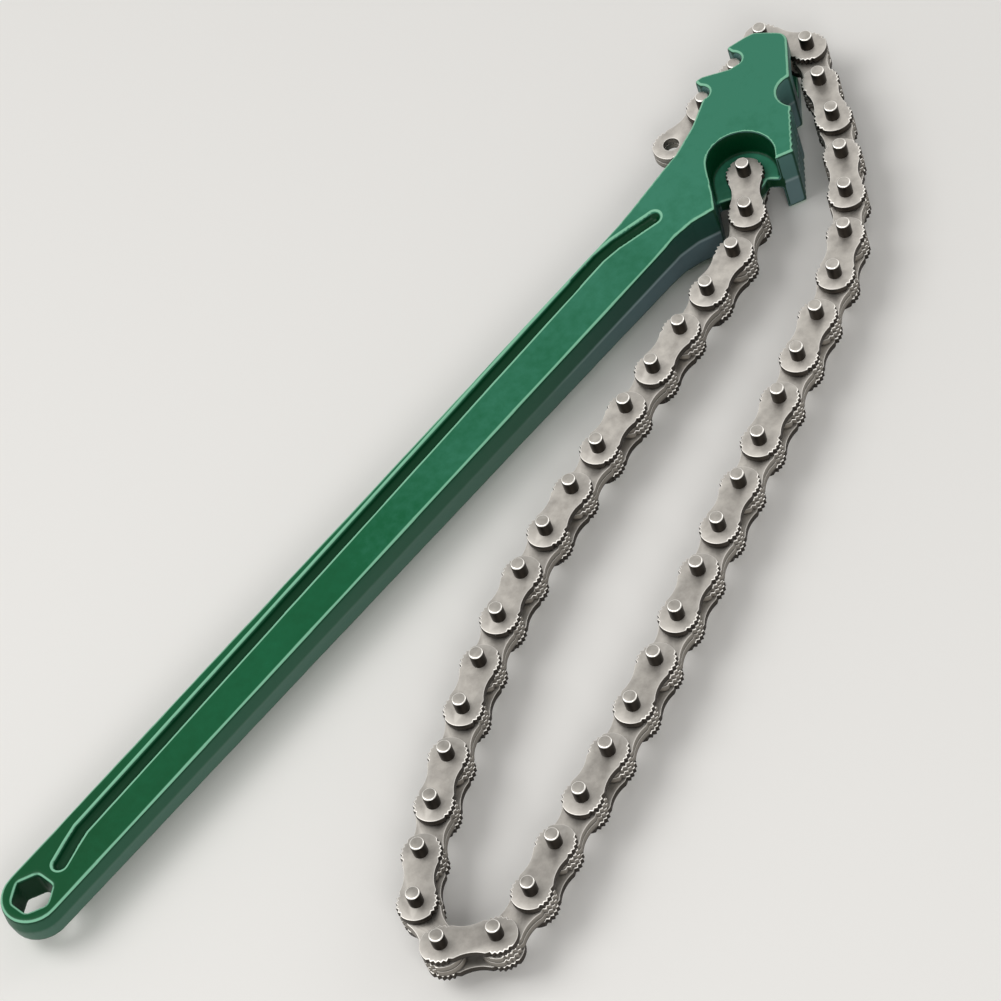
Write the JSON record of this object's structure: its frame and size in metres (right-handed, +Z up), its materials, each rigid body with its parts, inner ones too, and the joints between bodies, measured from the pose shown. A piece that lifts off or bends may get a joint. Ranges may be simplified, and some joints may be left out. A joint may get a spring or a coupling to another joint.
{
  "type": "chain pipe wrench",
  "caption": "Forged steel handle with a forked, hooked head and a hex hanging hole, and a leaf chain pinned to the head and hooked over its tip.",
  "frame": {"origin": "middle of the wrench's box at the level of the surface that it lies on", "axes": "+X along the handle from the hanging hole to the tip of the head, +Y towards the hooks, +Z up out of the lying tool, along every chain pin"},
  "size_m": [0.3786, 0.157, 0.024],
  "materials": {
    "enamel": "satin green enamel over a drop forging",
    "chain_steel": "tumbled bright steel"
  },
  "bodies": {
    "handle": {"handle": "enamel"},
    "outer_link_01": {"outer_link_01": "chain_steel"},
    "inner_link_01": {"inner_link_01": "chain_steel"},
    "outer_link_02": {"outer_link_02": "chain_steel"},
    "inner_link_02": {"inner_link_02": "chain_steel"},
    "outer_link_03": {"outer_link_03": "chain_steel"},
    "inner_link_03": {"inner_link_03": "chain_steel"},
    "outer_link_04": {"outer_link_04": "chain_steel"},
    "inner_link_04": {"inner_link_04": "chain_steel"},
    "outer_link_05": {"outer_link_05": "chain_steel"},
    "inner_link_05": {"inner_link_05": "chain_steel"},
    "outer_link_06": {"outer_link_06": "chain_steel"},
    "inner_link_06": {"inner_link_06": "chain_steel"},
    "outer_link_07": {"outer_link_07": "chain_steel"},
    "inner_link_07": {"inner_link_07": "chain_steel"},
    "outer_link_08": {"outer_link_08": "chain_steel"},
    "inner_link_08": {"inner_link_08": "chain_steel"},
    "outer_link_09": {"outer_link_09": "chain_steel"},
    "inner_link_09": {"inner_link_09": "chain_steel"},
    "outer_link_10": {"outer_link_10": "chain_steel"},
    "inner_link_10": {"inner_link_10": "chain_steel"},
    "outer_link_11": {"outer_link_11": "chain_steel"},
    "inner_link_11": {"inner_link_11": "chain_steel"},
    "outer_link_12": {"outer_link_12": "chain_steel"},
    "inner_link_12": {"inner_link_12": "chain_steel"},
    "outer_link_13": {"outer_link_13": "chain_steel"},
    "inner_link_13": {"inner_link_13": "chain_steel"},
    "outer_link_14": {"outer_link_14": "chain_steel"},
    "inner_link_14": {"inner_link_14": "chain_steel"},
    "outer_link_15": {"outer_link_15": "chain_steel"},
    "inner_link_15": {"inner_link_15": "chain_steel"},
    "outer_link_16": {"outer_link_16": "chain_steel"},
    "inner_link_16": {"inner_link_16": "chain_steel"},
    "outer_link_17": {"outer_link_17": "chain_steel"},
    "inner_link_17": {"inner_link_17": "chain_steel"},
    "outer_link_18": {"outer_link_18": "chain_steel"},
    "inner_link_18": {"inner_link_18": "chain_steel"},
    "outer_link_19": {"outer_link_19": "chain_steel"},
    "inner_link_19": {"inner_link_19": "chain_steel"},
    "outer_link_20": {"outer_link_20": "chain_steel"},
    "inner_link_20": {"inner_link_20": "chain_steel"},
    "outer_link_21": {"outer_link_21": "chain_steel"},
    "inner_link_21": {"inner_link_21": "chain_steel"},
    "outer_link_22": {"outer_link_22": "chain_steel"},
    "inner_link_22": {"inner_link_22": "chain_steel"}
  },
  "joints": [
    {"name": "anchor_hinge", "type": "hinge", "parent": "handle", "child": "outer_link_01", "pos_m": [0.13249, 0.04123, 0.012], "axis": [0, 0, 1], "range_deg": [0, 4.28]},
    {"name": "link_hinge_02", "type": "hinge", "parent": "outer_link_01", "child": "inner_link_01", "pos_m": [0.12065, 0.03065, 0.012], "axis": [0, 0, 1], "range_deg": [0, 3.59]},
    {"name": "link_hinge_03", "type": "hinge", "parent": "inner_link_01", "child": "outer_link_02", "pos_m": [0.10624, 0.02401, 0.012], "axis": [0, 0, 1], "range_deg": [-3.18, 0]},
    {"name": "link_hinge_04", "type": "hinge", "parent": "outer_link_02", "child": "inner_link_02", "pos_m": [0.09059, 0.02134, 0.012], "axis": [0, 0, 1], "range_deg": [-8, 0]},
    {"name": "link_hinge_05", "type": "hinge", "parent": "inner_link_02", "child": "outer_link_03", "pos_m": [0.07487, 0.01912, 0.012], "axis": [0, 0, 1], "range_deg": [-2.01, 0]},
    {"name": "link_hinge_06", "type": "hinge", "parent": "outer_link_03", "child": "inner_link_03", "pos_m": [0.05918, 0.01667, 0.012], "axis": [0, 0, 1], "range_deg": [0, 4.55]},
    {"name": "link_hinge_07", "type": "hinge", "parent": "inner_link_03", "child": "outer_link_04", "pos_m": [0.04349, 0.01424, 0.012], "axis": [0, 0, 1], "range_deg": [0, 14.64]},
    {"name": "link_hinge_08", "type": "hinge", "parent": "outer_link_04", "child": "inner_link_04", "pos_m": [0.02782, 0.0117, 0.012], "axis": [0, 0, 1], "range_deg": [0, 14]},
    {"name": "link_hinge_09", "type": "hinge", "parent": "inner_link_04", "child": "outer_link_05", "pos_m": [0.0122, 0.00889, 0.012], "axis": [0, 0, 1], "range_deg": [0, 17.19]},
    {"name": "link_hinge_10", "type": "hinge", "parent": "outer_link_05", "child": "inner_link_05", "pos_m": [-0.00334, 0.00565, 0.012], "axis": [0, 0, 1], "range_deg": [0, 14.8]},
    {"name": "link_hinge_11", "type": "hinge", "parent": "inner_link_05", "child": "outer_link_06", "pos_m": [-0.01877, 0.00191, 0.012], "axis": [0, 0, 1], "range_deg": [0, 13.12]},
    {"name": "link_hinge_12", "type": "hinge", "parent": "outer_link_06", "child": "inner_link_06", "pos_m": [-0.03396, -0.00269, 0.012], "axis": [0, 0, 1], "range_deg": [0, 11.98]},
    {"name": "link_hinge_13", "type": "hinge", "parent": "inner_link_06", "child": "outer_link_07", "pos_m": [-0.04882, -0.00828, 0.012], "axis": [0, 0, 1], "range_deg": [0, 4.33]},
    {"name": "link_hinge_14", "type": "hinge", "parent": "outer_link_07", "child": "inner_link_07", "pos_m": [-0.06336, -0.01466, 0.012], "axis": [0, 0, 1], "range_deg": [-2.96, 0]},
    {"name": "link_hinge_15", "type": "hinge", "parent": "inner_link_07", "child": "outer_link_08", "pos_m": [-0.07765, -0.02157, 0.012], "axis": [0, 0, 1], "range_deg": [-5.75, 0]},
    {"name": "link_hinge_16", "type": "hinge", "parent": "outer_link_08", "child": "inner_link_08", "pos_m": [-0.09179, -0.02879, 0.012], "axis": [0, 0, 1], "range_deg": [-6.57, 0]},
    {"name": "link_hinge_17", "type": "hinge", "parent": "inner_link_08", "child": "outer_link_09", "pos_m": [-0.10564, -0.03654, 0.012], "axis": [0, 0, 1], "range_deg": [-8.82, 0]},
    {"name": "link_hinge_18", "type": "hinge", "parent": "outer_link_09", "child": "inner_link_09", "pos_m": [-0.11819, -0.04627, 0.012], "axis": [0, 0, 1], "range_deg": [-9.26, 0]},
    {"name": "link_hinge_19", "type": "hinge", "parent": "inner_link_09", "child": "outer_link_10", "pos_m": [-0.12436, -0.06089, 0.012], "axis": [0, 0, 1], "range_deg": [-5.07, 0]},
    {"name": "link_hinge_20", "type": "hinge", "parent": "outer_link_10", "child": "inner_link_10", "pos_m": [-0.11339, -0.07236, 0.012], "axis": [0, 0, 1], "range_deg": [-5.18, 0]},
    {"name": "link_hinge_21", "type": "hinge", "parent": "inner_link_10", "child": "outer_link_11", "pos_m": [-0.09755, -0.07126, 0.012], "axis": [0, 0, 1], "range_deg": [-7.07, 0]},
    {"name": "link_hinge_22", "type": "hinge", "parent": "outer_link_11", "child": "inner_link_11", "pos_m": [-0.08227, -0.06698, 0.012], "axis": [0, 0, 1], "range_deg": [0, 2.42]},
    {"name": "link_hinge_23", "type": "hinge", "parent": "inner_link_11", "child": "outer_link_12", "pos_m": [-0.06677, -0.06355, 0.012], "axis": [0, 0, 1], "range_deg": [0, 3.55]},
    {"name": "link_hinge_24", "type": "hinge", "parent": "outer_link_12", "child": "inner_link_12", "pos_m": [-0.05127, -0.06009, 0.012], "axis": [0, 0, 1], "range_deg": [0, 2.62]},
    {"name": "link_hinge_25", "type": "hinge", "parent": "inner_link_12", "child": "outer_link_13", "pos_m": [-0.03587, -0.05626, 0.012], "axis": [0, 0, 1], "range_deg": [-4.33, 0]},
    {"name": "link_hinge_26", "type": "hinge", "parent": "outer_link_13", "child": "inner_link_13", "pos_m": [-0.0206, -0.05192, 0.012], "axis": [0, 0, 1], "range_deg": [-5.38, 0]},
    {"name": "link_hinge_27", "type": "hinge", "parent": "inner_link_13", "child": "outer_link_14", "pos_m": [-0.00541, -0.04729, 0.012], "axis": [0, 0, 1], "range_deg": [0, 2.56]},
    {"name": "link_hinge_28", "type": "hinge", "parent": "outer_link_14", "child": "inner_link_14", "pos_m": [0.00973, -0.04253, 0.012], "axis": [0, 0, 1], "range_deg": [0, 3.02]},
    {"name": "link_hinge_29", "type": "hinge", "parent": "inner_link_14", "child": "outer_link_15", "pos_m": [0.02487, -0.03775, 0.012], "axis": [0, 0, 1], "range_deg": [-2.81, 0]},
    {"name": "link_hinge_30", "type": "hinge", "parent": "outer_link_15", "child": "inner_link_15", "pos_m": [0.04002, -0.03302, 0.012], "axis": [0, 0, 1], "range_deg": [-5.16, 0]},
    {"name": "link_hinge_31", "type": "hinge", "parent": "inner_link_15", "child": "outer_link_16", "pos_m": [0.05518, -0.02828, 0.012], "axis": [0, 0, 1], "range_deg": [0, 3.87]},
    {"name": "link_hinge_32", "type": "hinge", "parent": "outer_link_16", "child": "inner_link_16", "pos_m": [0.07031, -0.02349, 0.012], "axis": [0, 0, 1], "range_deg": [0, 3.35]},
    {"name": "link_hinge_33", "type": "hinge", "parent": "inner_link_16", "child": "outer_link_17", "pos_m": [0.0854, -0.01854, 0.012], "axis": [0, 0, 1], "range_deg": [-4.33, 0]},
    {"name": "link_hinge_34", "type": "hinge", "parent": "outer_link_17", "child": "inner_link_17", "pos_m": [0.10047, -0.01357, 0.012], "axis": [0, 0, 1], "range_deg": [-4.32, 0]},
    {"name": "link_hinge_35", "type": "hinge", "parent": "inner_link_17", "child": "outer_link_18", "pos_m": [0.11547, -0.00838, 0.012], "axis": [0, 0, 1], "range_deg": [0, 4.39]},
    {"name": "link_hinge_36", "type": "hinge", "parent": "outer_link_18", "child": "inner_link_18", "pos_m": [0.12959, -0.00113, 0.012], "axis": [0, 0, 1], "range_deg": [0, 3.56]},
    {"name": "link_hinge_37", "type": "hinge", "parent": "inner_link_18", "child": "outer_link_19", "pos_m": [0.14215, 0.00858, 0.012], "axis": [0, 0, 1], "range_deg": [-2.04, 0]},
    {"name": "link_hinge_38", "type": "hinge", "parent": "outer_link_19", "child": "inner_link_19", "pos_m": [0.15364, 0.01954, 0.012], "axis": [0, 0, 1], "range_deg": [0, 3.47]},
    {"name": "link_hinge_39", "type": "hinge", "parent": "inner_link_19", "child": "outer_link_20", "pos_m": [0.16417, 0.03142, 0.012], "axis": [0, 0, 1], "range_deg": [0, 11.41]},
    {"name": "link_hinge_40", "type": "hinge", "parent": "outer_link_20", "child": "inner_link_20", "pos_m": [0.17352, 0.04425, 0.012], "axis": [0, 0, 1], "range_deg": [0, 4.01]},
    {"name": "link_hinge_41", "type": "hinge", "parent": "inner_link_20", "child": "outer_link_21", "pos_m": [0.18306, 0.05694, 0.012], "axis": [0, 0, 1], "range_deg": [-11.23, 0]},
    {"name": "link_hinge_42", "type": "hinge", "parent": "outer_link_21", "child": "inner_link_21", "pos_m": [0.17867, 0.07219, 0.012], "axis": [0, 0, 1], "range_deg": [-17.9, 0]},
    {"name": "link_hinge_43", "type": "hinge", "parent": "inner_link_21", "child": "outer_link_22", "pos_m": [0.16299, 0.06973, 0.012], "axis": [0, 0, 1], "range_deg": [-4.5, 0]},
    {"name": "free_link_hinge", "type": "hinge", "parent": "outer_link_22", "child": "inner_link_22", "pos_m": [0.14711, 0.06973, 0.012], "axis": [0, 0, 1], "range_deg": [-100, 0]}
  ],
  "couplings": [
    {"joint": "link_hinge_03", "follows": "anchor_hinge", "ratio": -0.7401},
    {"joint": "link_hinge_04", "follows": "link_hinge_02", "ratio": -2.2266},
    {"joint": "link_hinge_05", "follows": "anchor_hinge", "ratio": -0.46699},
    {"joint": "link_hinge_06", "follows": "link_hinge_02", "ratio": 1.2642},
    {"joint": "link_hinge_07", "follows": "anchor_hinge", "ratio": 3.4177},
    {"joint": "link_hinge_08", "follows": "link_hinge_02", "ratio": 3.8982},
    {"joint": "link_hinge_09", "follows": "anchor_hinge", "ratio": 4.0145},
    {"joint": "link_hinge_10", "follows": "link_hinge_02", "ratio": 4.1223},
    {"joint": "link_hinge_11", "follows": "anchor_hinge", "ratio": 3.0635},
    {"joint": "link_hinge_12", "follows": "link_hinge_02", "ratio": 3.3346},
    {"joint": "link_hinge_13", "follows": "anchor_hinge", "ratio": 1.0084},
    {"joint": "link_hinge_14", "follows": "link_hinge_02", "ratio": -0.82175},
    {"joint": "link_hinge_15", "follows": "anchor_hinge", "ratio": -1.342},
    {"joint": "link_hinge_16", "follows": "link_hinge_02", "ratio": -1.8293},
    {"joint": "link_hinge_17", "follows": "anchor_hinge", "ratio": -2.059},
    {"joint": "link_hinge_18", "follows": "link_hinge_02", "ratio": -2.579},
    {"joint": "link_hinge_19", "follows": "anchor_hinge", "ratio": -1.1832},
    {"joint": "link_hinge_20", "follows": "link_hinge_02", "ratio": -1.4415},
    {"joint": "link_hinge_21", "follows": "anchor_hinge", "ratio": -1.6504},
    {"joint": "link_hinge_22", "follows": "link_hinge_02", "ratio": 0.67153},
    {"joint": "link_hinge_23", "follows": "anchor_hinge", "ratio": 0.82688},
    {"joint": "link_hinge_24", "follows": "link_hinge_02", "ratio": 0.72885},
    {"joint": "link_hinge_25", "follows": "anchor_hinge", "ratio": -1.0101},
    {"joint": "link_hinge_26", "follows": "link_hinge_02", "ratio": -1.4971},
    {"joint": "link_hinge_27", "follows": "anchor_hinge", "ratio": 0.59688},
    {"joint": "link_hinge_28", "follows": "link_hinge_02", "ratio": 0.8378},
    {"joint": "link_hinge_29", "follows": "anchor_hinge", "ratio": -0.65336},
    {"joint": "link_hinge_30", "follows": "link_hinge_02", "ratio": -1.4339},
    {"joint": "link_hinge_31", "follows": "anchor_hinge", "ratio": 0.90065},
    {"joint": "link_hinge_32", "follows": "link_hinge_02", "ratio": 0.92969},
    {"joint": "link_hinge_33", "follows": "anchor_hinge", "ratio": -1.0085},
    {"joint": "link_hinge_34", "follows": "link_hinge_02", "ratio": -1.2008},
    {"joint": "link_hinge_35", "follows": "anchor_hinge", "ratio": 1.0244},
    {"joint": "link_hinge_36", "follows": "link_hinge_02", "ratio": 0.98855},
    {"joint": "link_hinge_37", "follows": "anchor_hinge", "ratio": -0.47488},
    {"joint": "link_hinge_38", "follows": "link_hinge_02", "ratio": 0.96377},
    {"joint": "link_hinge_39", "follows": "anchor_hinge", "ratio": 2.6635},
    {"joint": "link_hinge_40", "follows": "link_hinge_02", "ratio": 1.1143},
    {"joint": "link_hinge_41", "follows": "anchor_hinge", "ratio": -2.6225},
    {"joint": "link_hinge_42", "follows": "link_hinge_02", "ratio": -4.9861},
    {"joint": "link_hinge_43", "follows": "anchor_hinge", "ratio": -1.0488}
  ]
}
